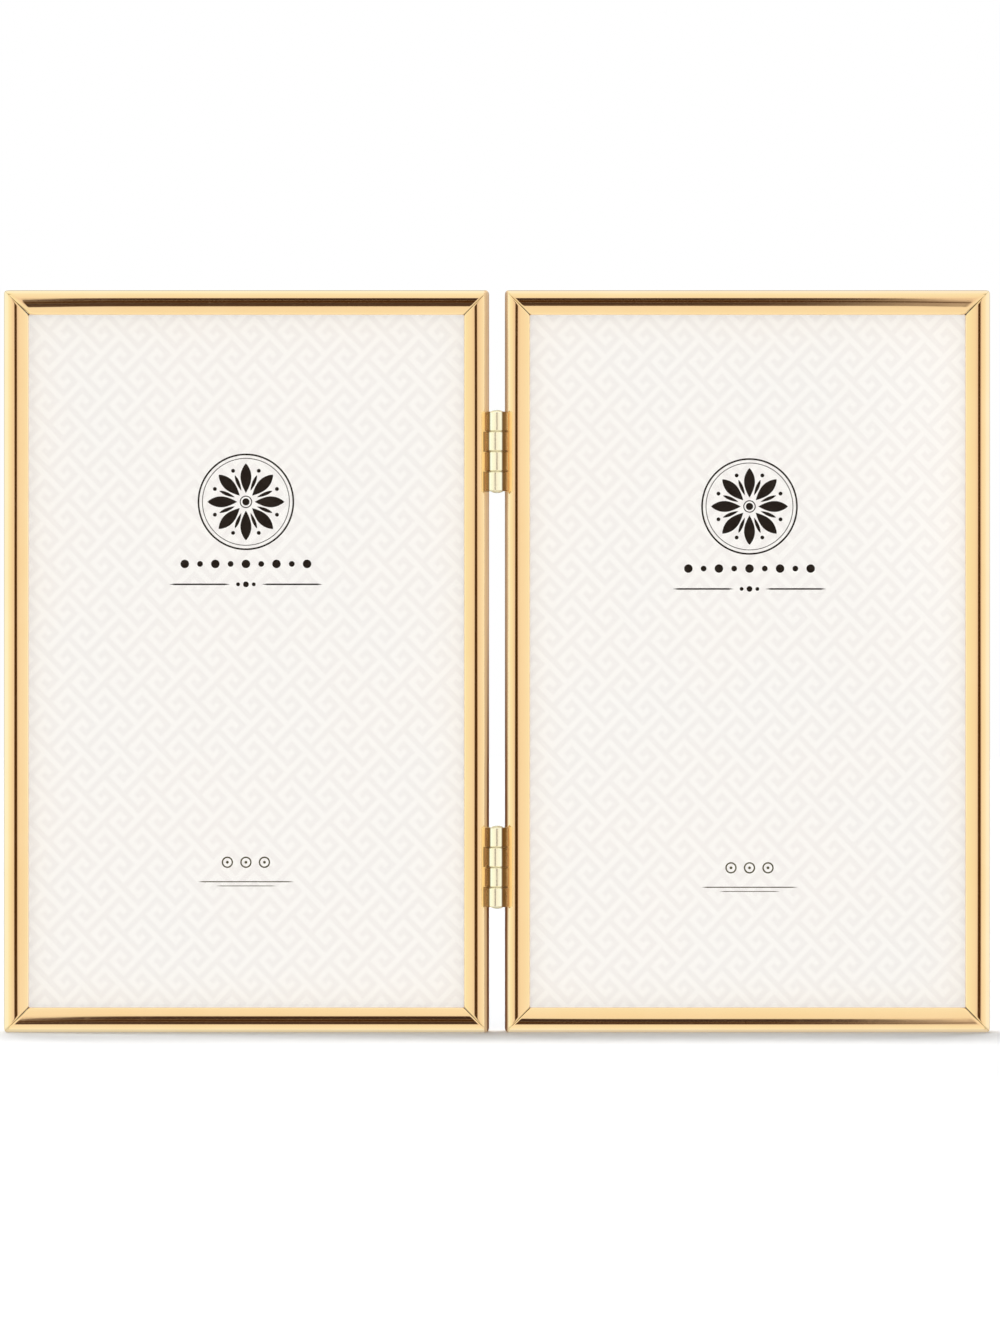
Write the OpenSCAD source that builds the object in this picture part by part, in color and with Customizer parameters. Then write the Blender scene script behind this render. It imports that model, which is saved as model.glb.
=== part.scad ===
// Hinged double picture frame: two mitred metal leaves for 4 x 6 in. pictures,
// joined by two small barrel hinges so that they open flat or close like a book.
// It stands on its bottom rails. +Z is up and the front faces -Y.
// Every rail, pane and board is drawn once for the right-hand leaf, and the
// left-hand leaf is its mirror image about X = 0.

/* [Leaf] */
// Outer width of one leaf
leaf_w = 104.6; // [104:0.2:140]
// Outer height of one leaf
leaf_h = 160; // [159:0.5:200]
// Depth of one leaf, from the crown of its moulding to its back edge
leaf_depth = 10; // [9.9:0.1:14]
// Space between the two leaves when they lie in one plane
leaf_gap = 3.4; // [3.2:0.1:5]

/* [Moulding] */
// Width of the moulding's face, seen from the front
face_w = 5.4; // [5:0.1:8]
// Thickness of the moulding's side wall
wall_t = 1.2; // [0.8:0.1:1.3]
// Radius of the shallow crown across the face
crown_r = 7.5; // [7:0.5:20]
// Radius of the rounded outer edge
outer_edge_r = 2; // [1:0.1:2.2]
// Radius of the small inner edge, next to the glass
inner_edge_r = 0.5; // [0.2:0.1:0.6]
// Thickness of the face, crown to underside
face_t = 1.35; // [1:0.05:1.4]
// Distance from the crown to the front of the glass
glass_front = 2.6; // [2.5:0.1:3]
// Width of the lip that rests on the glass
lip_w = 0.85; // [0.6:0.05:1]
// Open line between two rails at a mitre
mitre_gap = 0.05; // [0.02:0.01:0.1]
// Radius of a leaf's outer corners, seen from the front
corner_r = 1; // [0.4:0.1:1.5]

/* [Picture and back] */
// Width of the glass, the picture and the back board
stack_w = 101.6; // [90:0.2:101.6]
// Height of the glass, the picture and the back board
stack_h = 152.4; // [140:0.2:152.4]
// Thickness of the glass
glass_t = 2; // [1.5:0.1:2]
// Thickness of the printed paper
paper_t = 0.3; // [0.1:0.05:0.3]
// Thickness of the back board
board_t = 2.4; // [1.5:0.1:2.4]
// Thickness of the velveteen on the back board
velvet_t = 0.6; // [0.3:0.1:0.6]

/* [Turn buttons] */
// Distance of each turn button from the middle of its rail
button_x = 28; // [20:1:40]
// Length of a turn button, from its rivet to its tip
button_l = 8.5; // [6:0.5:12]
// Width of a turn button
button_w = 2.3; // [2:0.1:2.3]
// Thickness of a turn button
button_t = 0.7; // [0.5:0.1:0.7]

/* [Hinges] */
// Height of the upper hinge's middle above the base
upper_hinge_z = 125.1; // [110:0.1:130]
// Height of the lower hinge's middle above the base
lower_hinge_z = 35.7; // [25:0.1:60]
// Height of each hinge
hinge_h = 17.2; // [14:0.2:24]
// Outer radius of the knuckles
barrel_r = 2.65; // [2:0.05:2.65]
// Radius of the hinge pin
pin_r = 1.2; // [0.8:0.1:1.4]
// Distance of the pin's centre line in front of the crown
pin_forward = 1.2; // [1.2:0.1:2]
// Thickness of a hinge plate
plate_t = 1.2; // [0.8:0.1:1.2]
// Axial gap between two knuckles
knuckle_gap = 0.12; // [0.08:0.01:0.2]

/* [Hidden] */
$fn = 64;

gold = "#F0CB86";
brass = "#E3C36C";
steel = "#B9B7B0";

// The model's Y origin is midway between the barrels' front and the leaves' back.
front_y = -pin_forward - barrel_r;
shift_y = -(front_y + leaf_depth) / 2;

// Centres of the outer and inner edge arcs. Both arcs are tangent to the crown,
// whose centre is behind the middle of the face.
crown_u = face_w / 2;
outer_u = outer_edge_r;
outer_v = crown_r - sqrt(pow(crown_r - outer_edge_r, 2) - pow(crown_u - outer_u, 2));
inner_u = face_w - inner_edge_r;
inner_v = crown_r - sqrt(pow(crown_r - inner_edge_r, 2) - pow(inner_u - crown_u, 2));

// Middle of one leaf, and the depths of its layers behind the crown
leaf_mid = leaf_gap / 2 + leaf_w / 2;
paper_front = glass_front + glass_t;
board_front = paper_front + paper_t;
board_back = board_front + board_t;
velvet_back = board_back + velvet_t;
ledge_back = velvet_back + 0.2;
button_front = ledge_back + 0.1;
button_back = button_front + button_t;

// The ledges fill the height between the rails and the stack.
ledge_w = (leaf_h - stack_h) / 2 - wall_t - 0.1;
button_u = wall_t + ledge_w / 2;
rivet_r = 0.5;
velvet_edge = 0.4;

knuckle_l = hinge_h / 4;
hinge_rivet_r = 0.7;
hinge_rivet_z = 5;
hinge_rivet_y = 5.2;
plate_back = 8;

// Everything below is drawn with the crown at Y = 0, then moved by shift_y.
module placed() {
    translate([0, shift_y, 0]) children();
}
module left() {
    placed() mirror([1, 0, 0]) children();
}
module right() {
    placed() children();
}

// Filled outline of the moulding. X runs inward from the outer side,
// Y runs backward from the crown.
module moulding_outline() {
    reach = 2 * crown_r;
    a = [outer_u - crown_u, outer_v - crown_r];
    b = [inner_u - crown_u, inner_v - crown_r];
    intersection() {
        translate([crown_u, crown_r]) circle(crown_r, $fn = 180);
        polygon([[crown_u, crown_r], [crown_u, crown_r] + a / norm(a) * reach,
                 [crown_u, crown_r] + b / norm(b) * reach]);
    }
    translate([outer_u, outer_v]) circle(outer_edge_r, $fn = 96);
    translate([inner_u, inner_v]) circle(inner_edge_r, $fn = 48);
    translate([0, outer_v]) square([face_w, leaf_depth - outer_v]);
    translate([inner_u - 0.6, inner_v]) square([inner_edge_r + 0.6, outer_v - inner_v + 0.1]);
}

// Section of the moulding: a channel with a crowned face, a side wall and a lip.
module moulding_section() {
    difference() {
        moulding_outline();
        // rebate for the glass, the picture and the back
        translate([wall_t, glass_front]) square([face_w, leaf_depth]);
        // channel for the corner keys
        translate([wall_t, face_t]) square([face_w - wall_t - lip_w, glass_front]);
        // broken corners on the wall's back edge
        polygon([[-1, leaf_depth - 0.25], [0, leaf_depth - 0.25], [0.25, leaf_depth], [0.25, leaf_depth + 1], [-1, leaf_depth + 1]]);
        polygon([[wall_t + 1, leaf_depth - 0.25], [wall_t, leaf_depth - 0.25], [wall_t - 0.25, leaf_depth], [wall_t - 0.25, leaf_depth + 1], [wall_t + 1, leaf_depth + 1]]);
    }
}

// What a leaf's rounded outer corner leaves out of a square one at the origin
module corner_waste() {
    difference() {
        translate([-1, -1]) square(1 + corner_r);
        translate([corner_r, corner_r]) circle(corner_r);
    }
}
// One rail of length l along Z, mitred at both ends.
// X runs inward and Y backward, as in the section.
module rail(l) {
    m = mitre_gap / 2;
    w = face_w + 1;
    intersection() {
        linear_extrude(l) moulding_section();
        translate([0, leaf_depth + 1, 0]) rotate([90, 0, 0])
            linear_extrude(leaf_depth + 4) difference() {
                polygon([[-0.5, m - 0.5], [w, w + m], [w, l - w - m], [-0.5, l + 0.5 - m]]);
                corner_waste();
                translate([0, l]) mirror([0, 1]) corner_waste();
            }
    }
}

// Swaps X and Z, so that a rail along Z becomes one along X.
module lying() {
    mirror([1, 0, -1]) children();
}

module hinge_side_rail() {
    color(gold) difference() {
        translate([leaf_gap / 2, 0, 0]) rail(leaf_h);
        for (z = [upper_hinge_z, lower_hinge_z], s = [-1, 1])
            translate([leaf_gap / 2 - 1, hinge_rivet_y, z + s * hinge_rivet_z])
                rotate([0, 90, 0]) cylinder(r = hinge_rivet_r, h = wall_t + 2);
    }
}
module outer_rail() {
    color(gold) translate([leaf_gap / 2 + leaf_w, 0, 0]) mirror([1, 0, 0]) rail(leaf_h);
}
module bottom_rail() {
    color(gold) translate([leaf_gap / 2, 0, 0]) lying() rail(leaf_w);
}
module top_rail() {
    color(gold) translate([leaf_gap / 2, 0, leaf_h]) mirror([0, 0, 1]) lying() rail(leaf_w);
}

// One flat L-shaped key with its outer corner at the origin, legs along X and Z.
module corner_key() {
    leg = 16;
    width = face_w - wall_t - lip_w - 0.15;
    translate([0, glass_front - 0.05, 0]) rotate([90, 0, 0])
        linear_extrude(glass_front - face_t - 0.1)
            polygon([[0, 0], [leg, 0], [leg, width], [width, width], [width, leg], [0, leg]]);
}
module corner_keys() {
    e = wall_t + 0.07;
    color(steel)
        for (sx = [-1, 1], sz = [-1, 1])
            translate([leaf_mid, 0, leaf_h / 2])
                mirror([sx < 0 ? 0 : 1, 0, 0]) mirror([0, 0, sz < 0 ? 0 : 1])
                    translate([e - leaf_w / 2, 0, e - leaf_h / 2]) corner_key();
}

// Steel strip inside the top or bottom rail. It centres the stack and carries
// two turn buttons. Drawn for the bottom rail.
module ledge() {
    difference() {
        translate([leaf_mid - leaf_w / 2 + wall_t + 0.1, glass_front + 0.1, wall_t])
            cube([leaf_w - 2 * wall_t - 0.2, ledge_back - glass_front - 0.1, ledge_w]);
        for (s = [-1, 1])
            translate([leaf_mid + s * button_x, ledge_back - 3, button_u])
                rotate([-90, 0, 0]) cylinder(r = rivet_r, h = 4);
    }
}
module bottom_ledge() {
    color(steel) ledge();
}
module top_ledge() {
    color(steel) translate([0, 0, leaf_h]) mirror([0, 0, 1]) ledge();
}

// A centred slab of the stack: width, height, front and back depth
module slab(w, h, front, back) {
    translate([leaf_mid - w / 2, front, leaf_h / 2 - h / 2]) cube([w, back - front, h]);
}
module glass() {
    color("#E8F2F2", 0.35) slab(stack_w - 0.2, stack_h - 0.2, glass_front, paper_front);
}
module insert() {
    color("#F6F1EE") slab(stack_w, stack_h, paper_front, board_front);
}
module back_board() {
    color("#8A6A48")
        slab(stack_w - 2 * velvet_edge - 0.1, stack_h - 2 * velvet_edge - 0.1, board_front, board_back);
}
// Velveteen glued over the board's back and edges
module velveteen() {
    color("#1D1B1C") difference() {
        slab(stack_w, stack_h, board_front, velvet_back);
        slab(stack_w - 2 * velvet_edge, stack_h - 2 * velvet_edge, board_front - 1, board_back);
    }
}

// One turn button that points along +Z from its rivet at the origin. Its front is at Y = 0.
module turn_button() {
    tip = button_l - button_w / 2;
    difference() {
        translate([0, button_t, 0]) rotate([90, 0, 0]) union() {
            linear_extrude(button_t) {
                circle(button_w / 2);
                translate([-button_w / 2, 0]) square([button_w, tip]);
                translate([0, tip]) circle(button_w / 2);
            }
        }
        translate([0, -1, 0]) rotate([-90, 0, 0]) cylinder(r = rivet_r + 0.05, h = button_t + 2);
    }
}
// side is -1 for the button nearer the hinges and 1 for the outer one.
module bottom_button(side) {
    color(brass) translate([leaf_mid + side * button_x, button_front, button_u]) turn_button();
}
module top_button(side) {
    color(brass) translate([leaf_mid + side * button_x, button_front, leaf_h - button_u])
        mirror([0, 0, 1]) turn_button();
}
// Rivet with a low domed head, centred on the origin with its shank along -Y
module button_rivet() {
    shank = 2.9 + button_front - ledge_back + button_t + 0.05;
    head_r = 1;
    head_h = 0.5;
    ball_r = (head_r * head_r + head_h * head_h) / (2 * head_h);
    translate([0, -2.9, 0]) rotate([-90, 0, 0]) {
        cylinder(r = rivet_r, h = shank + 0.05);
        intersection() {
            translate([0, 0, shank + head_h - ball_r]) sphere(ball_r, $fn = 96);
            translate([0, 0, shank]) cylinder(r = 2, h = head_h + 1);
        }
    }
}
module turn_button_rivets() {
    color(brass)
        for (s = [-1, 1], z = [button_u, leaf_h - button_u])
            translate([leaf_mid + s * button_x, ledge_back, z]) button_rivet();
}

// Knuckle number n of a hinge, counted from the top, with broken edges
module knuckle(n, bore) {
    l = knuckle_l - knuckle_gap;
    e = 0.2;
    translate([0, -pin_forward, hinge_h / 2 - n * knuckle_l + knuckle_gap / 2])
        rotate_extrude($fn = 96)
            polygon([[bore, 0], [barrel_r - e, 0], [barrel_r, e],
                     [barrel_r, l - e], [barrel_r - e, l], [bore, l]]);
}
// Plate with two knuckles, drawn for the right-hand leaf about its own middle.
// own lists its knuckles, and relief is cut for the other two.
module hinge_plate(own, bore) {
    other = [for (n = [1:4]) if (n != own[0] && n != own[1]) n];
    x0 = leaf_gap / 2 - plate_t;
    clear = barrel_r + 0.3;
    difference() {
        union() {
            translate([x0, -pin_forward, -hinge_h / 2 + knuckle_gap / 2])
                cube([plate_t, plate_back + pin_forward, hinge_h - knuckle_gap]);
            for (n = own) knuckle(n, bore);
        }
        // relief around the other plate's knuckles
        for (n = other)
            translate([0, -pin_forward, hinge_h / 2 - n * knuckle_l - knuckle_gap / 2 - (n == 4 ? 1 : 0)])
                cylinder(r = clear, h = knuckle_l + knuckle_gap + (n == 1 ? 1 : 0) + (n == 4 ? 1 : 0));
        // bore for the pin
        translate([0, -pin_forward, -hinge_h / 2 - 1]) cylinder(r = bore, h = hinge_h + 2);
        // countersunk holes for the rivets
        for (s = [-1, 1])
            translate([x0, hinge_rivet_y, s * hinge_rivet_z]) rotate([0, 90, 0]) {
                translate([0, 0, -1]) cylinder(r = hinge_rivet_r, h = plate_t + 2);
                translate([0, 0, -0.001]) cylinder(r1 = 1.2, r2 = hinge_rivet_r, h = 0.5);
            }
    }
}
module left_plate() {
    color(brass) hinge_plate([1, 3], pin_r);
}
module right_plate() {
    color(brass) hinge_plate([2, 4], pin_r + 0.05);
}
// Pin with a low domed tip at each end
module hinge_pin() {
    tip = 0.35;
    ball_r = (pin_r * pin_r + tip * tip) / (2 * tip);
    h = hinge_h + 0.1;
    color(brass) translate([0, -pin_forward, 0]) {
        cylinder(r = pin_r, h = h, center = true);
        for (s = [0, 1])
            mirror([0, 0, s]) intersection() {
                translate([0, 0, h / 2 + tip - ball_r]) sphere(ball_r, $fn = 96);
                translate([0, 0, h / 2 - 0.1]) cylinder(r = pin_r, h = tip + 1);
            }
    }
}
// Countersunk rivets through the plates and the hinge-side rail's wall
module hinge_rivets() {
    x0 = leaf_gap / 2 - plate_t;
    color(brass)
        for (z = [upper_hinge_z, lower_hinge_z], s = [-1, 1])
            translate([x0, hinge_rivet_y, z + s * hinge_rivet_z]) rotate([0, 90, 0]) {
                cylinder(r = hinge_rivet_r, h = plate_t + wall_t);
                cylinder(r1 = 1.2, r2 = hinge_rivet_r, h = 0.5);
            }
}

left() top_rail();  // left_top_rail
left() bottom_rail();  // left_bottom_rail
left() outer_rail();  // left_outer_rail
left() hinge_side_rail();  // left_hinge_side_rail
left() corner_keys();  // left_corner_keys
left() top_ledge();  // left_top_ledge
left() bottom_ledge();  // left_bottom_ledge
left() glass();  // left_glass
left() insert();  // left_insert
left() back_board();  // left_back_board
left() velveteen();  // left_velveteen
left() top_button(1);  // left_turn_button_top_outer
left() top_button(-1);  // left_turn_button_top_inner
left() bottom_button(1);  // left_turn_button_bottom_outer
left() bottom_button(-1);  // left_turn_button_bottom_inner
left() turn_button_rivets();  // left_turn_button_rivets
right() top_rail();  // right_top_rail
right() bottom_rail();  // right_bottom_rail
right() outer_rail();  // right_outer_rail
right() hinge_side_rail();  // right_hinge_side_rail
right() corner_keys();  // right_corner_keys
right() top_ledge();  // right_top_ledge
right() bottom_ledge();  // right_bottom_ledge
right() glass();  // right_glass
right() insert();  // right_insert
right() back_board();  // right_back_board
right() velveteen();  // right_velveteen
right() top_button(1);  // right_turn_button_top_outer
right() top_button(-1);  // right_turn_button_top_inner
right() bottom_button(1);  // right_turn_button_bottom_outer
right() bottom_button(-1);  // right_turn_button_bottom_inner
right() turn_button_rivets();  // right_turn_button_rivets
left() translate([0, 0, upper_hinge_z]) left_plate();  // upper_hinge_left_plate
right() translate([0, 0, upper_hinge_z]) right_plate();  // upper_hinge_right_plate
right() translate([0, 0, upper_hinge_z]) hinge_pin();  // upper_hinge_pin
left() translate([0, 0, lower_hinge_z]) left_plate();  // lower_hinge_left_plate
right() translate([0, 0, lower_hinge_z]) right_plate();  // lower_hinge_right_plate
right() translate([0, 0, lower_hinge_z]) hinge_pin();  // lower_hinge_pin
left() hinge_rivets();  // left_hinge_rivets
right() hinge_rivets();  // right_hinge_rivets
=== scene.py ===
import math

import bmesh
import bpy
import numpy as np
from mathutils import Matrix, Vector, noise


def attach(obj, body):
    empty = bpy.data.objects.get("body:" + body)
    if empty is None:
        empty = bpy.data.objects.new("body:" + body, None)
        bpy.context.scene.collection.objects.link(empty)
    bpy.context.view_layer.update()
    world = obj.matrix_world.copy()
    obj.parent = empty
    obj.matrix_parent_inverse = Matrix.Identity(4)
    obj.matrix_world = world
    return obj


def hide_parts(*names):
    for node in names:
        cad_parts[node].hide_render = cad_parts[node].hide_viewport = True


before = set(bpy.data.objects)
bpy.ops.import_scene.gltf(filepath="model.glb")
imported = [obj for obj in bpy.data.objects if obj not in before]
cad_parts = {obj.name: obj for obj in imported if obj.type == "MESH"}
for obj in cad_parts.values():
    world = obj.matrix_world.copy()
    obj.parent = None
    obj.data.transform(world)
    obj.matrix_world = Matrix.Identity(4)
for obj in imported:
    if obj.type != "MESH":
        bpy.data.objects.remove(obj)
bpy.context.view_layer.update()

scene = bpy.context.scene
MM = 0.001

# ---------------------------------------------------------------- dimensions, mm
# The frame's own coordinates: +X right, +Y backward, +Z up, standing on Z = 0.
GAP = 3.4            # between the leaves
LEAF_W, LEAF_H = 104.6, 160.0
DEPTH = 10.0         # crown to back edge
CROWN_Y = -3.075     # the plane of the crowns
FACE = 5.4           # width of the moulding's face
WALL = 1.2
CROWN_R, OUTER_R, INNER_R = 7.5, 2.0, 0.5
FACE_T, GLASS_FRONT, LIP = 1.35, 2.6, 0.85
MITRE = 0.05
CORNER_R = 1.0
STACK_W, STACK_H = 101.6, 152.4
MID = GAP / 2 + LEAF_W / 2
PAPER_Y = CROWN_Y + 4.6
BOARD_Y = PAPER_Y + 0.3
VELVET_Y = BOARD_Y + 3.0
SIDES = (("left", -1), ("right", 1))


# ---------------------------------------------------------------- node helpers
class Nodes:
    """Short calls for building a node tree. Inputs may be sockets or plain values."""

    def __init__(self, tree):
        self.tree = tree
        tree.nodes.clear()

    def add(self, kind, inputs=None, **props):
        n = self.tree.nodes.new(kind)
        for k, v in props.items():
            setattr(n, k, v)
        for k, v in (inputs or {}).items():
            self.put(n.inputs[k], v)
        return n

    def put(self, socket, v):
        if isinstance(v, bpy.types.NodeSocket):
            self.tree.links.new(v, socket)
        elif v is not None:
            if socket.type == "RGBA" and len(v) == 3:
                v = (*v, 1.0)
            socket.default_value = v

    def math(self, op, a, b=None, c=None, clamp=False):
        n = self.add("ShaderNodeMath", operation=op, use_clamp=clamp)
        for s, v in zip(n.inputs, (a, b, c)):
            self.put(s, v)
        return n.outputs[0]

    def mul(self, a, b):
        return self.math("MULTIPLY", a, b)

    def plus(self, a, b):
        return self.math("ADD", a, b)

    def minus(self, a, b):
        return self.math("SUBTRACT", a, b)

    def ramp(self, v, lo, hi, out_lo=0.0, out_hi=1.0, smooth=True):
        """Maps v from lo..hi to out_lo..out_hi with a soft step."""
        n = self.add("ShaderNodeMapRange", interpolation_type="SMOOTHSTEP" if smooth else "LINEAR")
        for s, x in zip(n.inputs, (v, lo, hi, out_lo, out_hi)):
            self.put(s, x)
        return n.outputs[0]

    def mix(self, f, a, b, kind="MIX"):
        """Mixes two colours."""
        n = self.add("ShaderNodeMix", data_type="RGBA", blend_type=kind)
        self.put(n.inputs[0], f)
        self.put(n.inputs[6], a)
        self.put(n.inputs[7], b)
        return n.outputs[2]

    def blend(self, f, a, b):
        """Mixes two numbers."""
        n = self.add("ShaderNodeMix", data_type="FLOAT")
        self.put(n.inputs[0], f)
        self.put(n.inputs[2], a)
        self.put(n.inputs[3], b)
        return n.outputs[0]

    def place(self):
        """Where a point is on the object, in metres."""
        return self.add("ShaderNodeTexCoord").outputs["Object"]

    def stretched(self, v, scale):
        n = self.add("ShaderNodeVectorMath", operation="MULTIPLY")
        self.put(n.inputs[0], v)
        self.put(n.inputs[1], scale)
        return n.outputs[0]

    def noise(self, v, scale=1.0, detail=2.0, rough=0.5, distort=0.0):
        n = self.add("ShaderNodeTexNoise", {"Vector": v, "Scale": scale, "Detail": detail,
                                            "Roughness": rough, "Distortion": distort})
        return n.outputs[0]

    def bump(self, height, distance, strength=1.0, normal=None):
        n = self.add("ShaderNodeBump", {"Height": height, "Distance": distance, "Strength": strength})
        if normal is not None:
            self.put(n.inputs["Normal"], normal)
        return n.outputs[0]

    def split(self, v):
        return self.add("ShaderNodeSeparateXYZ", {0: v}).outputs

    def attribute(self, name):
        return self.add("ShaderNodeAttribute", attribute_name=name).outputs["Fac"]


def new_material(name):
    mat = bpy.data.materials.new(name)
    mat.use_nodes = True
    return mat, Nodes(mat.node_tree)


def surface(n, shader):
    n.add("ShaderNodeOutputMaterial", {"Surface": shader})


def principled(n, **inputs):
    return n.add("ShaderNodeBsdfPrincipled", {k.replace("_", " "): v for k, v in inputs.items()})


# ---------------------------------------------------------------- metals
def metal(name, colour, deep, roughness, along, line=0.25, line_len=24.0, line_depth=0.0004,
          wave=0.002, speck=0.5, streak=0.05, smudge=0.05, tint=None):
    """A polished or brushed metal. Drawn lines run along one axis, or nowhere if along is None.
    line and line_len are the lines' width and length in mm, line_depth and wave depths in mm.
    tint may recolour places, with tarnish and with painted shade, highlight and reflection, dull them, and say how far
    they stand off the plain shape, in mm."""
    mat, n = new_material(name)
    at = n.place()
    across, run = 1000.0 / line, 1000.0 / line_len
    scale = [across] * 3
    if along is not None:
        scale["XYZ".index(along)] = run
    lines = n.noise(n.stretched(at, scale), 1.0, 3.0, 0.6)
    fine = n.noise(n.stretched(at, [s * 3.1 for s in scale]), 1.0, 2.0, 0.5)
    cloud = n.noise(at, 55.0, 3.0, 0.55, 0.4)
    smudges = n.ramp(n.noise(at, 130.0, 3.0, 0.6, 1.2), 0.5, 0.75)
    specks = n.ramp(n.noise(at, 2600.0, 1.0, 0.5), 0.68, 0.8)
    tone = n.mix(n.ramp(cloud, 0.3, 0.7), colour, deep)
    tone = n.mix(n.mul(specks, 0.25 * speck), tone, deep)
    dull = off_shape = None
    if tint:
        tone, dull, off_shape = tint(n, at, tone, cloud)
    rough = n.plus(roughness, n.mul(n.minus(lines, 0.5), streak))
    rough = n.plus(rough, n.mul(smudges, smudge))
    rough = n.plus(rough, n.mul(specks, 0.1 * speck))
    height = n.plus(n.mul(lines, 1.0), n.mul(fine, 0.35))
    slow = [400.0] * 3
    if along is not None:
        slow["XYZ".index(along)] = 70.0
    waves = n.noise(n.stretched(at, slow), 1.0, 1.0, 0.4)
    normal = n.bump(waves, wave * MM)
    normal = n.bump(height, line_depth * MM, 1.0, normal)
    if off_shape is not None:
        normal = n.bump(off_shape, MM, 1.0, normal)
    p = principled(n, Base_Color=tone, Metallic=1.0, Roughness=n.math("MAXIMUM", rough, 0.02), Normal=normal)
    if dull is not None:
        n.put(p.inputs["Metallic"], n.minus(1.0, dull))
        n.put(p.inputs["Roughness"], n.blend(n.ramp(dull, 0.3, 0.9), n.math("MAXIMUM", rough, 0.02), 0.5))
    surface(n, p.outputs[0])
    return mat


# Colours of tarnish with painted shade on the gap edges, of painted shade on and beside the hinge barrels, and of
# painted reflections on the barrels and on the rails beside them
TARNISH_AND_SHADE, PAINTED_SHADE_DARK, PAINTED_SHADE_PALE = (0.18, 0.065, 0.02), (0.16, 0.06, 0.01), (0.38, 0.17, 0.04)
PAINTED_REFLECTION_AMBER, PAINTED_REFLECTION_GOLD = (0.80, 0.48, 0.16), (0.87, 0.62, 0.25)


def hinge_place(n, z):
    """0 on the upper hinge's level and 1 on the lower's, and 1 on the second and fourth knuckle of each."""
    lower = n.ramp(z, 0.0799, 0.0801, 1.0, 0.0)
    foot = n.blend(lower, 0.1165, 0.0271)
    other = n.math("LESS_THAN", n.math("FLOORED_MODULO", n.minus(z, foot), 0.0086), 0.0043)
    inside = n.mul(n.math("GREATER_THAN", z, foot), n.math("LESS_THAN", z, n.plus(foot, 0.0172)))
    return lower, other, inside


def seam_tarnish_and_shade(n, at, tone, cloud):
    """The mitre cut is bare. The edges that face each other across the gap are tarnished and dull, and their colour
    also holds painted shade:
    darker low down, and higher up darker on the right leaf's wall. Beside the hinges they carry a painted reflection of
    the barrel and a painted shadow line."""
    tone = n.mix(n.mul(n.attribute("seam"), 0.86), tone, (0.36, 0.28, 0.11))
    x, y, z = n.split(at)
    side = n.math("ABSOLUTE", x)
    ragged = n.plus(side, n.mul(n.minus(cloud, 0.5), 0.0003))
    right = n.math("GREATER_THAN", x, 0.0)
    front = n.ramp(y, 0.0, -0.0013)
    low = n.ramp(z, 0.052, 0.098, 1.0, 0.0)
    # tarnish and painted shade on the gap wall and on the strip in front of it, darker low down
    wall = n.mix(n.blend(low, n.mul(right, 0.45), 1.0), (0.80, 0.59, 0.38), TARNISH_AND_SHADE)
    strip = n.mix(n.mul(low, 0.2), (0.68, 0.47, 0.25), TARNISH_AND_SHADE)
    tarnish_and_shade_tone = n.mix(n.ramp(ragged, 0.00205, 0.00225, 1.0, 0.0), strip, wall)
    limit = n.blend(right, 0.00272, 0.00240)
    dull = n.ramp(n.minus(ragged, limit), -0.00010, 0.00012, 1.0, 0.0)
    # beside a hinge: a painted reflection of the barrel on the rail's rolled edge, pale gold turning amber close to the
    # barrel on the right leaf, and a painted shadow line on the left leaf beside the second and fourth knuckles
    lower, other, inside = hinge_place(n, z)
    beside = n.mul(n.mul(inside, n.ramp(side, 0.0031, 0.0036, 1.0, 0.0)), front)
    barrel_reflection = n.mix(n.mul(right, n.ramp(side, 0.00290, 0.00262)), PAINTED_REFLECTION_GOLD, PAINTED_REFLECTION_AMBER)
    barrel_shadow = n.mul(n.mul(n.ramp(side, 0.00302, 0.00288), other), n.minus(1.0, right))
    barrel_reflection = n.mix(n.mul(barrel_shadow, 0.8), barrel_reflection, PAINTED_SHADE_DARK)
    dull = n.mul(dull, front)
    tone = n.mix(dull, tone, tarnish_and_shade_tone)
    tone = n.mix(beside, tone, barrel_reflection)
    return tone, n.mul(n.math("MAXIMUM", dull, beside), 0.9), None


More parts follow.
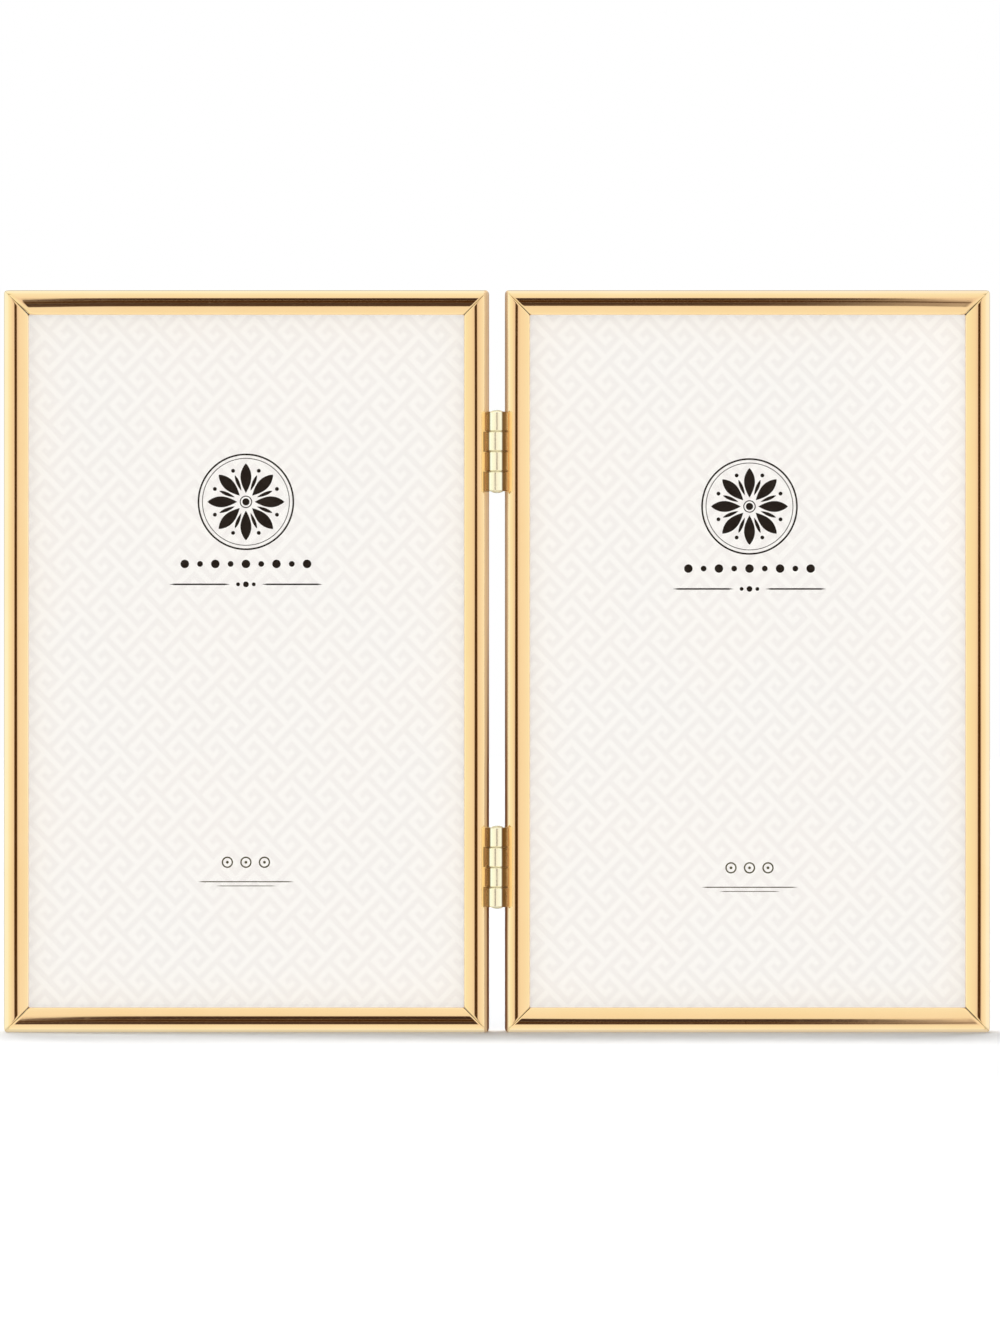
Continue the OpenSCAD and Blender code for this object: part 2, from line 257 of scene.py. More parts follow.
def barrel_painted_light(n, at, tone, cloud):
    """A hinge barrel carries a painted highlight along its crest and painted dark reflections on the flanks beside it.
    The two plates' knuckles take turns, and one plate's are shaded as if rolled slightly off round."""
    x, y, z = n.split(at)
    lower, other, _ = hinge_place(n, z)

    front = n.ramp(y, -0.0040, -0.0046)
    middle = n.blend(other, 0.00020, 0.00028)
    half = n.minus(n.blend(other, 0.00125, 0.00134), n.mul(lower, 0.00006))
    crest = n.ramp(n.minus(n.math("ABSOLUTE", n.plus(x, middle)), half), -0.00016, 0.00019, 1.0, 0.0)
    # painted dark reflections on the flanks: deepest beside the crest, paler outward, a painted amber reflection along
    # one edge, and darker on the lower hinge
    flank = n.mix(n.ramp(n.math("ABSOLUTE", x), 0.0015, 0.0023), PAINTED_SHADE_DARK, PAINTED_SHADE_PALE)
    edge = n.mul(n.ramp(x, 0.00186, 0.00240), n.blend(other, 0.85, 0.70))
    flank = n.mix(edge, flank, PAINTED_REFLECTION_AMBER)
    flank = n.mix(n.mul(lower, 0.4), flank, PAINTED_SHADE_DARK)
    flank = n.mix(n.mul(n.ramp(cloud, 0.6, 0.3), 0.06), flank, tone)
    # the painted highlight along the crest, over the painted flanks
    face = n.mix(crest, flank, (0.975, 0.905, 0.665))
    # painted bands at the joints between knuckles: painted shade across the crest, a paler brown across the flanks, and
    # the ends duller there
    step = n.math("FLOORED_MODULO", n.minus(z, n.blend(lower, 0.1165, 0.0271)), 0.0043)
    joint_band = n.ramp(n.math("MINIMUM", step, n.minus(0.0043, step)), 0.00010, 0.00024, 1.0, 0.0)
    face = n.mix(n.mul(joint_band, 0.8), face, n.mix(crest, (0.36, 0.19, 0.065), (0.80, 0.72, 0.45)))
    off_round = n.mul(n.mul(n.mul(x, 1000.0), -0.140), n.mul(other, front))
    dull = n.mul(front, n.math("MAXIMUM", n.mul(joint_band, 0.85), n.mul(crest, 0.17)))
    return n.mix(front, tone, face), dull, off_round


GOLD, GOLD_DEEP = (1.0, 0.72, 0.40), (0.985, 0.70, 0.375)
gold_x = metal("polished_gold_x", GOLD, GOLD_DEEP, 0.055, "X", line_depth=0.00016, wave=0.0006, speck=0.3, streak=0.015, smudge=0.015, tint=seam_tarnish_and_shade)
gold_z = metal("polished_gold_z", GOLD, GOLD_DEEP, 0.055, "Z", line_depth=0.00016, wave=0.0006, speck=0.3, streak=0.015, smudge=0.015, tint=seam_tarnish_and_shade)
brass = metal("hinge_brass_polished", (0.97, 0.73, 0.32), (0.90, 0.64, 0.24), 0.155, "Z", 0.18, 5.0, 0.0010, 0.004, 1.0, 0.07, 0.08,
              tint=barrel_painted_light)
clip_x = metal("clip_brass_brushed", (0.90, 0.70, 0.34), (0.80, 0.59, 0.26), 0.24, "Z", 0.12, 3.0, 0.002, 0.004, 1.0, 0.14, 0.12)
rivet_brass = metal("rivet_brass", (0.93, 0.72, 0.35), (0.83, 0.60, 0.27), 0.17, None, 0.2, 2.0, 0.001, 0.003, 1.0, 0.08, 0.08)
steel_x = metal("zinc_plated_steel", (0.66, 0.66, 0.655), (0.52, 0.53, 0.54), 0.32, "X", 0.15, 9.0, 0.003, 0.006, 1.0, 0.16, 0.16)


# ---------------------------------------------------------------- paper with its printed fret
def fret_cells():
    """The lit cells of a key fret: two hooked bars that repeat every 10 half-steps across and 12 down."""
    bars = [[(2, -2), (2, -3), (0, -3), (0, 0), (8, 0)],
            [(-4, -1), (-5, -1), (-5, -3), (-2, -3), (-2, 5)]]
    cells = set()
    for bar in bars:
        for (a0, b0), (a1, b1) in zip(bar, bar[1:]):
            steps = max(abs(a1 - a0), abs(b1 - b0))
            for k in range(steps + 1):
                a, b = a0 + (a1 - a0) * k // steps, b0 + (b1 - b0) * k // steps
                cells.add(((a + b) % 10, (a - b) % 12))
    return cells


def fret_mask(n, at, origin, period):
    """1 on the fret's bars and 0 between them. origin and period are in mm, across and down."""
    x, _, z = n.split(at)
    i = n.mul(n.minus(x, origin[0] * MM), 10.0 / (period[0] * MM))
    j = n.mul(n.minus(origin[1] * MM, z), 12.0 / (period[1] * MM))
    a = n.math("FLOOR", n.plus(n.mul(n.plus(i, j), 0.5), 0.5))
    b = n.math("FLOOR", n.plus(n.mul(n.minus(i, j), 0.5), 0.5))
    col = n.math("FLOORED_MODULO", n.plus(a, b), 10.0)
    row = n.math("FLOORED_MODULO", n.minus(a, b), 12.0)
    bits = None
    lit = fret_cells()
    for c in range(10):
        word = float(sum(1 << r for r in range(12) if (c, r) in lit))
        here = n.mul(n.math("COMPARE", col, float(c), 0.25), word)
        bits = here if bits is None else n.plus(bits, here)
    shifted = n.math("FLOOR", n.math("DIVIDE", n.plus(bits, 0.25), n.math("POWER", 2.0, row)))
    return n.math("GREATER_THAN", n.math("FLOORED_MODULO", shifted, 2.0), 0.5)


def paper(name, origin, period):
    mat, n = new_material(name)
    at = n.place()
    # the print's edge wanders a little with the paper's fibre
    wander = n.add("ShaderNodeVectorMath", {0: n.add("ShaderNodeTexNoise", {"Vector": at, "Scale": 2200.0, "Detail": 1.0}).outputs["Color"], 1: (0.5, 0.5, 0.5)}, operation="SUBTRACT").outputs[0]
    wander = n.stretched(wander, (0.0001, 0.0, 0.0001))
    moved = n.add("ShaderNodeVectorMath", {0: at, 1: wander}, operation="ADD").outputs[0]
    bars = fret_mask(n, moved, origin, period)
    fibre = n.noise(n.stretched(at, (1500.0, 1500.0, 900.0)), 1.0, 2.0, 0.65, 0.6)
    cloud = n.noise(at, 38.0, 2.0, 0.5)
    flecks = n.ramp(n.noise(n.stretched(at, (900.0, 900.0, 2600.0)), 1.0, 1.0, 0.5, 2.0), 0.72, 0.8)
    ground = n.mix(n.ramp(cloud, 0.3, 0.7), (0.872, 0.823, 0.806), (0.864, 0.824, 0.812))
    ink = n.mix(n.ramp(cloud, 0.3, 0.7), (0.920, 0.878, 0.856), (0.915, 0.879, 0.862))
    cover = n.mul(bars, n.ramp(fibre, 0.2, 0.42, 0.72, 1.0))
    colour = n.mix(cover, ground, ink)
    colour = n.mix(n.mul(n.ramp(fibre, 0.35, 0.75), 0.05), colour, (0.72, 0.69, 0.66))
    colour = n.mix(n.mul(flecks, 0.08), colour, (0.62, 0.59, 0.56))
    rough = n.blend(bars, 0.62, 0.42)
    normal = n.bump(fibre, 0.006 * MM, 0.6)
    p = principled(n, Base_Color=colour, Roughness=rough, Normal=normal)
    p.inputs["Specular IOR Level"].default_value = 0.35
    surface(n, p.outputs[0])
    return mat


def ink(name, colour, pale):
    mat, n = new_material(name)
    at = n.place()
    grain = n.noise(at, 3800.0, 3.0, 0.6)
    cloud = n.noise(at, 420.0, 2.0, 0.5)
    tone = n.mix(n.mul(n.ramp(grain, 0.45, 0.8), 0.45), colour, pale)
    tone = n.mix(n.mul(n.ramp(cloud, 0.45, 0.75), 0.25), tone, pale)
    p = principled(n, Base_Color=tone, Roughness=n.ramp(grain, 0.3, 0.7, 0.5, 0.7), Normal=n.bump(grain, 0.003 * MM, 0.5))
    p.inputs["Specular IOR Level"].default_value = 0.2
    surface(n, p.outputs[0])
    return mat


# Where the fret's pattern starts, in mm, and how often it repeats
paper_left = paper("printed_paper_left", (-92.74, 83.68), (8.068, 10.003))
paper_right = paper("printed_paper_right", (16.105, 82.70), (8.107, 10.042))
ink_black = ink("black_ink", (0.009, 0.0062, 0.0052), (0.030, 0.022, 0.017))
ink_olive = ink("olive_ink", (0.055, 0.047, 0.020), (0.18, 0.16, 0.10))


# ---------------------------------------------------------------- glass, cloth, board
def clear_glass():
    mat, n = new_material("picture_glass")
    at = n.place()
    rough = n.ramp(n.noise(at, 60.0, 2.0, 0.6, 1.5), 0.5, 0.85, 0.0, 0.015)
    tone = n.mix(n.ramp(n.noise(at, 9.0, 1.0, 0.5), 0.3, 0.7), (0.994, 1.0, 0.997), (0.990, 0.998, 0.995))
    p = principled(n, Base_Color=tone, Roughness=rough)
    p.inputs["Transmission Weight"].default_value = 1.0
    p.inputs["IOR"].default_value = 1.5
    through = n.add("ShaderNodeBsdfTransparent", {"Color": (0.975, 0.985, 0.98)})
    ray = n.add("ShaderNodeLightPath").outputs
    light = n.math("MAXIMUM", ray["Is Shadow Ray"], ray["Is Diffuse Ray"])
    m = n.add("ShaderNodeMixShader", {0: light, 1: p.outputs[0], 2: through.outputs[0]})
    surface(n, m.outputs[0])
    return mat


def velveteen():
    mat, n = new_material("black_velveteen")
    at = n.place()
    pile = n.noise(at, 5200.0, 3.0, 0.7)
    nap = n.noise(n.stretched(at, (900.0, 900.0, 260.0)), 1.0, 3.0, 0.6, 0.8)
    crush = n.noise(at, 48.0, 3.0, 0.55, 1.4)
    tone = n.mix(n.ramp(crush, 0.35, 0.68), (0.0115, 0.0105, 0.0120), (0.0210, 0.0195, 0.0205))
    tone = n.mix(n.mul(n.ramp(nap, 0.45, 0.8), 0.5), tone, (0.036, 0.033, 0.034))
    tone = n.mix(n.mul(n.ramp(pile, 0.5, 0.75), 0.45), tone, (0.048, 0.044, 0.045))
    lint = n.ramp(n.noise(n.stretched(at, (2400.0, 2400.0, 420.0)), 1.0, 0.0, 0.5, 2.5), 0.76, 0.80)
    tone = n.mix(n.mul(lint, 0.55), tone, (0.16, 0.15, 0.145))
    normal = n.bump(pile, 0.10 * MM, 0.9)
    normal = n.bump(nap, 0.12 * MM, 0.7, normal)
    p = principled(n, Base_Color=tone, Roughness=0.95, Normal=normal)
    p.inputs["Sheen Weight"].default_value = 0.55
    p.inputs["Sheen Roughness"].default_value = 0.38
    p.inputs["Sheen Tint"].default_value = (0.55, 0.53, 0.56, 1.0)
    p.inputs["Specular IOR Level"].default_value = 0.15
    surface(n, p.outputs[0])
    return mat


def hardboard():
    mat, n = new_material("hardboard")
    at = n.place()
    fibre = n.noise(n.stretched(at, (2600.0, 2600.0, 700.0)), 1.0, 4.0, 0.65, 0.8)
    cloud = n.noise(at, 90.0, 3.0, 0.5)
    tone = n.mix(n.ramp(fibre, 0.3, 0.7), (0.135, 0.078, 0.038), (0.26, 0.165, 0.088))
    tone = n.mix(n.mul(n.ramp(cloud, 0.35, 0.7), 0.4), tone, (0.105, 0.060, 0.030))
    p = principled(n, Base_Color=tone, Roughness=n.ramp(fibre, 0.2, 0.8, 0.68, 0.85), Normal=n.bump(fibre, 0.03 * MM, 0.8))
    surface(n, p.outputs[0])
    return mat


glass_mat, velvet_mat, board_mat = clear_glass(), velveteen(), hardboard()

# ---------------------------------------------------------------- mesh helpers
def make(name, verts, faces, mats, sharp=32.0, flip=False):
    """A mesh object from points in mm. Edges that turn more than sharp degrees stay crisp."""
    bm = bmesh.new()
    vs = [bm.verts.new((x * MM, y * MM, z * MM)) for x, y, z in verts]
    for f in faces:
        bm.faces.new([vs[i] for i in f])
    bmesh.ops.remove_doubles(bm, verts=bm.verts, dist=0.002 * MM)
    bmesh.ops.dissolve_degenerate(bm, dist=0.0005 * MM, edges=bm.edges)
    bmesh.ops.recalc_face_normals(bm, faces=bm.faces)
    if flip:
        bmesh.ops.reverse_faces(bm, faces=bm.faces)
    for f in bm.faces:
        f.smooth = True
    for e in bm.edges:
        e.smooth = not (e.is_manifold and e.calc_face_angle(0.0) > math.radians(sharp))
    me = bpy.data.meshes.new(name)
    bm.to_mesh(me)
    bm.free()
    for m in mats if isinstance(mats, (list, tuple)) else [mats]:
        me.materials.append(m)
    o = bpy.data.objects.new(name, me)
    scene.collection.objects.link(o)
    return o


def arc(cu, cv, r, n0, n1, steps):
    """Points on a circle whose outward normals turn from n0 to n1 degrees.
    0 points forward and positive angles point inward across the face."""
    out = []
    for k in range(steps + 1):
        a = math.radians(n0 + (n1 - n0) * k / steps)
        out.append((cu + r * math.sin(a), cv - r * math.cos(a), math.sin(a), -math.cos(a), 1.0))
    return out


def section(off):
    """The moulding's outline as (u, v, normal u, normal v, outside): u runs inward from the outer side, v backward.
    off is how far the crown's ridge lies from the middle of the face."""
    cu = FACE / 2 + off
    ou = OUTER_R
    ov = CROWN_R - math.sqrt((CROWN_R - OUTER_R) ** 2 - (cu - ou) ** 2)
    iu = FACE - INNER_R
    iv = CROWN_R - math.sqrt((CROWN_R - INNER_R) ** 2 - (iu - cu) ** 2)
    a_out = -math.degrees(math.asin((cu - ou) / (CROWN_R - OUTER_R)))
    a_in = math.degrees(math.asin((iu - cu) / (CROWN_R - INNER_R)))
    pts = [(0.25, DEPTH, -0.7, 0.7, 1.0), (0.06, DEPTH - 0.19, -0.9, 0.4, 1.0), (0.0, DEPTH - 0.32, -1, 0, 1.0)]
    pts += [(0.0, DEPTH - 0.32 - (DEPTH - 0.32 - ov) * k / 6, -1, 0, 1.0) for k in range(1, 6)]
    pts += arc(ou, ov, OUTER_R, -90, a_out, 22)
    pts += arc(cu, CROWN_R, CROWN_R, a_out, a_in, 26)[1:]
    pts += arc(iu, iv, INNER_R, a_in, 90, 10)[1:]
    pts += [(FACE, iv + (GLASS_FRONT - iv) * k / 3, 1, 0, 0.6) for k in range(1, 3)]
    pts += [(FACE, GLASS_FRONT - 0.06, 1, 0, 0.0), (FACE - 0.06, GLASS_FRONT, 0, 1, 0.0),
            (FACE - LIP, GLASS_FRONT, 0, 1, 0.0), (FACE - LIP, FACE_T, 0, 1, 0.0),
            (WALL, FACE_T, 1, 0, 0.0), (WALL, DEPTH - 0.3, 1, 0, 0.0),
            (WALL - 0.06, DEPTH - 0.17, 0.8, 0.5, 0.0), (WALL - 0.24, DEPTH, 0.5, 0.8, 0.0)]
    return pts


def rail(name, length, place, off, ends, drift, mat, body, node):
    """One rail with mitred ends, as a fine mesh. place maps (u, v, t) to a point of the frame.
    ends gives, for the start and the end, how far the face rolls over towards the mitre,
    and drift how far the crown's ridge wanders there."""
    near = [0.0, 0.035, 0.08, 0.13, 0.19, 0.26, 0.34, 0.43, 0.54, 0.70, 0.95, 1.3, 1.8, 2.4]
    mids = 34
    cols = [("a", d) for d in near] + [("m", k / mids) for k in range(1, mids)] + [("b", d) for d in reversed(near)]
    verts, faces, cuts, cut = [], [], [], MITRE / 2
    seed = sum(ord(c) for c in name)
    for where, d in cols:
        way = d if where == "a" else length - d if where == "b" else length * d
        pts = section(off + drift[0] * math.exp(-way / 7.0) + drift[1] * math.exp((way - length) / 7.0))
        for u, v, nu, nv, out in pts:
            lo, hi = u + cut, length - u - cut
            if where == "a":
                t = lo + d
            elif where == "b":
                t = hi - d
            else:
                t = (lo + near[-1]) * (1 - d) + (hi - near[-1]) * d
            low = 0.0
            for dist, reach in (((t - lo) / math.sqrt(2), ends[0]), ((hi - t) / math.sqrt(2), ends[1])):
                if dist < reach:
                    low = max(low, reach * 0.215 * (1 - dist / reach) ** 2)
                if dist < 0.05:
                    low += 0.05 * (1 - dist / 0.05)
            # hand finishing leaves the face very slightly uneven
            low += 0.0018 * (1 + noise.noise(Vector((t / 17.0, u / 4.0, seed * 1.7))))
            low *= out
            uu, vv, tt = u - nu * low, v - nv * low, t
            # rounded outer corners, seen from the front
            for far in (False, True):
                q = length - tt if far else tt
                if uu < CORNER_R and q < CORNER_R:
                    dx, dy = CORNER_R - uu, CORNER_R - q
                    r = math.hypot(dx, dy)
                    if r > CORNER_R:
                        uu, q = CORNER_R - dx * CORNER_R / r, CORNER_R - dy * CORNER_R / r
                        tt = length - q if far else q
            verts.append(place(uu, vv, tt))
            cuts.append(max(0.0, 1.0 - min(t - lo, hi - t) / 0.075))
    m = len(pts)
    for c in range(len(cols) - 1):
        for k in range(m):
            k2 = (k + 1) % m
            faces.append((c * m + k, c * m + k2, (c + 1) * m + k2, (c + 1) * m + k))
    last = (len(cols) - 1) * m
    faces.append(tuple(range(m)))
    faces.append(tuple(last + k for k in reversed(range(m))))
    o = make(name, verts, faces, mat, 28.0)
    # how near each point is to a mitre's cut
    seam = o.data.attributes.new("seam", "FLOAT", "POINT")
    frame_u = {}
    for k, (x, y, z) in enumerate(verts):
        frame_u[round(x, 3), round(y, 3), round(z, 3)] = cuts[k]
    for k, v in enumerate(o.data.vertices):
        seam.data[k].value = frame_u.get(tuple(round(c / MM, 3) for c in v.co), 0.0)
    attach(o, body)
    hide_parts(node)
    return o


def bore(o, holes):
    """Drills round holes along X. holes lists (x0, x1, y, z, radius) in mm."""
    verts, faces = [], []
    for x0, x1, y, z, r in holes:
        base, steps = len(verts), 28
        for x in (x0, x1):
            for k in range(steps):
                a = 2 * math.pi * k / steps
                verts.append((x, y + r * math.cos(a), z + r * math.sin(a)))
        for k in range(steps):
            k2 = (k + 1) % steps
            faces.append((base + k, base + k2, base + steps + k2, base + steps + k))
        faces.append(tuple(base + k for k in reversed(range(steps))))
        faces.append(tuple(base + steps + k for k in range(steps)))
    tool = make(o.name + "_tool", verts, faces, o.data.materials[0])
    m = o.modifiers.new("bore", "BOOLEAN")
    m.operation, m.solver, m.object = "DIFFERENCE", "EXACT", tool
    bpy.context.view_layer.update()
    done = bpy.data.meshes.new_from_object(o.evaluated_get(bpy.context.evaluated_depsgraph_get()))
    o.modifiers.clear()
    old, o.data = o.data, done
    bpy.data.meshes.remove(old)
    bpy.data.objects.remove(tool)
    bm = bmesh.new()
    bm.from_mesh(o.data)
    for e in bm.edges:
        e.smooth = not (e.is_manifold and e.calc_face_angle(0.0) > math.radians(28))
    bm.to_mesh(o.data)
    bm.free()


# ---------------------------------------------------------------- the rails
for side, s in SIDES:
    body = side + "_leaf"
    left = side == "left"
    x0, x1 = GAP / 2, GAP / 2 + LEAF_W
    rail(f"{side}_moulding_inner", LEAF_H, lambda u, v, t, s=s: (s * (x0 + u), CROWN_Y + v, t), 0.09 if left else -0.17,
         (0.34, 0.28) if left else (0.30, 0.36), (0.0, 0.06), gold_z, body, f"{side}_hinge_side_rail")
    rail(f"{side}_moulding_outer", LEAF_H, lambda u, v, t, s=s: (s * (x1 - u), CROWN_Y + v, t), -0.23 if left else -0.52,
         (0.36, 0.30) if left else (0.32, 0.28), (0.05, -0.04), gold_z, body, f"{side}_outer_rail")
    rail(f"{side}_moulding_bottom", LEAF_W, lambda u, v, t, s=s: (s * (x0 + t), CROWN_Y + v, u), -0.24 if left else -0.84,
         (0.38, 0.42) if left else (0.34, 0.55), (0.0, -0.22) if left else (0.08, 0.16), gold_x, body, f"{side}_bottom_rail")
    rail(f"{side}_moulding_top", LEAF_W, lambda u, v, t, s=s: (s * (x0 + t), CROWN_Y + v, LEAF_H - u), -0.28 if left else -0.38,
         (0.32, 0.95) if left else (0.36, 0.80), (0.0, 0.24) if left else (0.0, 0.26), gold_x, body, f"{side}_top_rail")
    hinge_z = [z + d for z in (125.1, 35.7) for d in (-5, 5)]
    bore(bpy.data.objects[f"{side}_moulding_inner"],
         [(s * (x0 - 0.6), s * (x0 + WALL + 0.4), CROWN_Y + 5.2, z, 0.72) for z in hinge_z])


# ---------------------------------------------------------------- glass
def slab(name, cx, w, z0, z1, y0, y1, edge, mats):
    """An upright sheet with its edges broken all round."""
    rings = [(edge, y0), (0.0, y0 + edge), (0.0, y1 - edge), (edge, y1)]
    verts = []
    for inset, y in rings:
        a, b, c, d = cx - w / 2 + inset, cx + w / 2 - inset, z0 + inset, z1 - inset
        verts += [(a, y, c), (b, y, c), (b, y, d), (a, y, d)]
    faces = [(0, 1, 2, 3), (15, 14, 13, 12)]
    for r in range(3):
        for k in range(4):
            k2 = (k + 1) % 4
            faces.append((4 * r + k, 4 * r + k2, 4 * r + 4 + k2, 4 * r + 4 + k))
    return make(name, verts, faces, mats, 20.0)


for side, s in SIDES:
    o = slab(f"{side}_glass_pane", s * MID, STACK_W - 0.2, 3.9, 156.1, CROWN_Y + GLASS_FRONT + 0.01, PAPER_Y - 0.07, 0.25, glass_mat)
    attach(o, side + "_leaf")
    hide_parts(side + "_glass")


# ---------------------------------------------------------------- printed marks on the paper
class Print:
    """Flat shapes of ink, a hair thick, on the front of the paper."""

    def __init__(self):
        self.verts, self.faces = [], []

    def shape(self, outline):
        """A filled outline of (x, z) points, anticlockwise."""
        base, m = len(self.verts), len(outline)
        for y in (PAPER_Y - 0.012, PAPER_Y - 0.002):
            self.verts += [(x, y, z) for x, z in outline]
        self.faces.append(tuple(base + k for k in range(m)))
        self.faces.append(tuple(base + m + k for k in reversed(range(m))))
        for k in range(m):
            k2 = (k + 1) % m
            self.faces.append((base + k, base + k2, base + m + k2, base + m + k))

    def ring(self, cx, cz, r0, r1, steps=96):
        base = len(self.verts)
        for y in (PAPER_Y - 0.012, PAPER_Y - 0.002):
            for r in (r0, r1):
                for k in range(steps):
                    a = 2 * math.pi * k / steps
                    self.verts.append((cx + r * math.cos(a), y, cz + r * math.sin(a)))
        f0, f1, b0, b1 = (base + steps * k for k in range(4))
        for k in range(steps):
            k2 = (k + 1) % steps
            self.faces += [(f0 + k, f0 + k2, f1 + k2, f1 + k), (b0 + k, b1 + k, b1 + k2, b0 + k2),
                           (f0 + k, b0 + k, b0 + k2, f0 + k2), (f1 + k, f1 + k2, b1 + k2, b1 + k)]

    def disc(self, cx, cz, r, steps=40):
        self.shape([(cx + r * math.cos(2 * math.pi * k / steps), cz + r * math.sin(2 * math.pi * k / steps)) for k in range(steps)])

    def rule(self, x0, x1, z, w):
        """A ruled line with tapered tips."""
        t = min(1.2, (x1 - x0) / 4)
        self.shape([(x0, z), (x0 + t, z - w / 2), (x1 - t, z - w / 2), (x1, z), (x1 - t, z + w / 2), (x0 + t, z + w / 2)])

    def petal(self, cx, cz, angle, r0, r1, w, power=0.8, steps=22):
        a = math.radians(angle)
        e, f = (math.cos(a), math.sin(a)), (-math.sin(a), math.cos(a))
        right, left = [], []
        for k in range(steps + 1):
            q = k / steps
            r, h = r0 + (r1 - r0) * q, w * math.sin(math.pi * q ** 1.15) ** power if 0 < k < steps else 0.0
            right.append((cx + e[0] * r - f[0] * h, cz + e[1] * r - f[1] * h))
            left.append((cx + e[0] * r + f[0] * h, cz + e[1] * r + f[1] * h))
        self.shape(right + left[-2:0:-1])

    def done(self, name, mat, body):
        o = make(name, self.verts, self.faces, mat, 30.0)
        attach(o, body)
        return o


for side, cx, top, words, size in (("left", -54.2, 114.4, 98.9, 34.4), ("right", 54.5, 113.4, 97.9, 33.2)):
    p = Print()
    p.ring(cx, top, 10.05, 10.42, 160)
    p.ring(cx, top, 9.30, 9.46, 160)
    for k in range(8):
        p.petal(cx, top, 45 * k + 90, 1.9, 8.3, 1.18)
        p.disc(cx + 7.25 * math.cos(math.radians(45 * k + 22.5)), top + 7.25 * math.sin(math.radians(45 * k + 22.5)), 0.42)
        p.petal(cx, top, 45 * k + 22.5, 2.6, 6.2, 0.36, 0.7)
    p.disc(cx, top, 0.78)
    p.ring(cx, top, 1.12, 1.34, 64)
    # two short ruled rows below the rosette
    for k in range(-4, 5):
        w = 0.62 if k % 2 else 0.92
        p.shape([(cx + 3.3 * k + w * math.cos(math.radians(q)), words + 2.1 + w * math.sin(math.radians(q))) for q in range(0, 360, 12)])
    p.rule(cx - 16.6, cx - 3.4, words - 2.3, 0.34)
    p.rule(cx + 3.4, cx + 16.6, words - 2.3, 0.34)
    for k in (-1, 0, 1):
        p.disc(cx + 1.7 * k, words - 2.3, 0.42 if k else 0.62)
    p.done(f"{side}_printed_rosette", ink_black, side + "_leaf")
    q = Print()
    for k in (-1, 0, 1):
        q.ring(cx + 4.0 * k, size + 2.2, 0.92, 1.22, 48)
        q.disc(cx + 4.0 * k, size + 2.2, 0.3, 24)
    q.rule(cx - 10.4, cx + 10.4, size - 2.0, 0.22)
    q.rule(cx - 6.6, cx + 6.6, size - 2.9, 0.16)
    q.done(f"{side}_printed_rule", ink_olive, side + "_leaf")


# ---------------------------------------------------------------- velveteen cover of the back board
def folded(a, half, r):
    """Where a point of the flat cloth goes when its edge is turned down: (position, drop)."""
    s, q = (1 if a >= 0 else -1), abs(a)
    start = half - r
    if q <= start:
        return a, 0.0
    phi = (q - start) / r
    if phi < math.pi / 2:
        return s * (start + r * math.sin(phi)), r * (1 - math.cos(phi))
    return s * half, r + (q - start - r * math.pi / 2)


def cover(side, s):
    w, h, r, drop = STACK_W / 2 - 0.02, STACK_H / 2 - 0.02, 0.55, 2.95
    edge_w, edge_h = w - r + r * math.pi / 2 + drop - r, h - r + r * math.pi / 2 + drop - r

    def stations(half, flat_end, count):
        inner = [-(half - r) + 2 * (half - r) * k / count for k in range(count + 1)]
        turn = [half - r + r * math.pi / 2 * k / 4 for k in range(1, 5)]
        down = [turn[-1] + (flat_end - turn[-1]) * k / 3 for k in range(1, 4)]
        outer = turn + down
        return [-q for q in reversed(outer)] + inner + outer, len(outer)

    xs, nx = stations(w, edge_w, 84)
    zs, nz = stations(h, edge_h, 126)
    verts, index = [], {}
    for j, b in enumerate(zs):
        for i, a in enumerate(xs):
            x, dx = folded(a, w, r)
            z, dz = folded(b, h, r)
            over_x, over_z = dx >= r, dz >= r
            if over_x and over_z:
                continue
            d = min(dx + dz, max(dx, dz, r)) if (dx < r and dz < r) else max(dx, dz)
            y = VELVET_Y - d
            if d < 0.01:
                y -= 0.02 + 0.035 * (0.5 + 0.5 * noise.noise(Vector((x / 9.0, z / 13.0, s * 3.1))))
                y -= 0.018 * (0.5 + 0.5 * noise.noise(Vector((x / 1.7, z / 2.1, 5.0 + s))))
            index[i, j] = len(verts)
            verts.append((s * MID + x, y, LEAF_H / 2 + z))
    faces = []
    for j in range(len(zs) - 1):
        for i in range(len(xs) - 1):
            q = [(i, j), (i + 1, j), (i + 1, j + 1), (i, j + 1)]
            if all(c in index for c in q):
                faces.append(tuple(index[c] for c in q))
    o = make(f"{side}_velveteen_cover", verts, faces, velvet_mat, 60.0)
    me = o.data
    # the sheet faces backward, so that its thickness goes towards the board
    if sum(f.normal.y * f.area for f in me.polygons) < 0:
        me.flip_normals()
    m = o.modifiers.new("thickness", "SOLIDIFY")
    m.thickness, m.offset = 0.36 * MM, -1.0
    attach(o, side + "_leaf")
    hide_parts(side + "_velveteen")
    return o


for side, s in SIDES:
    cover(side, s)


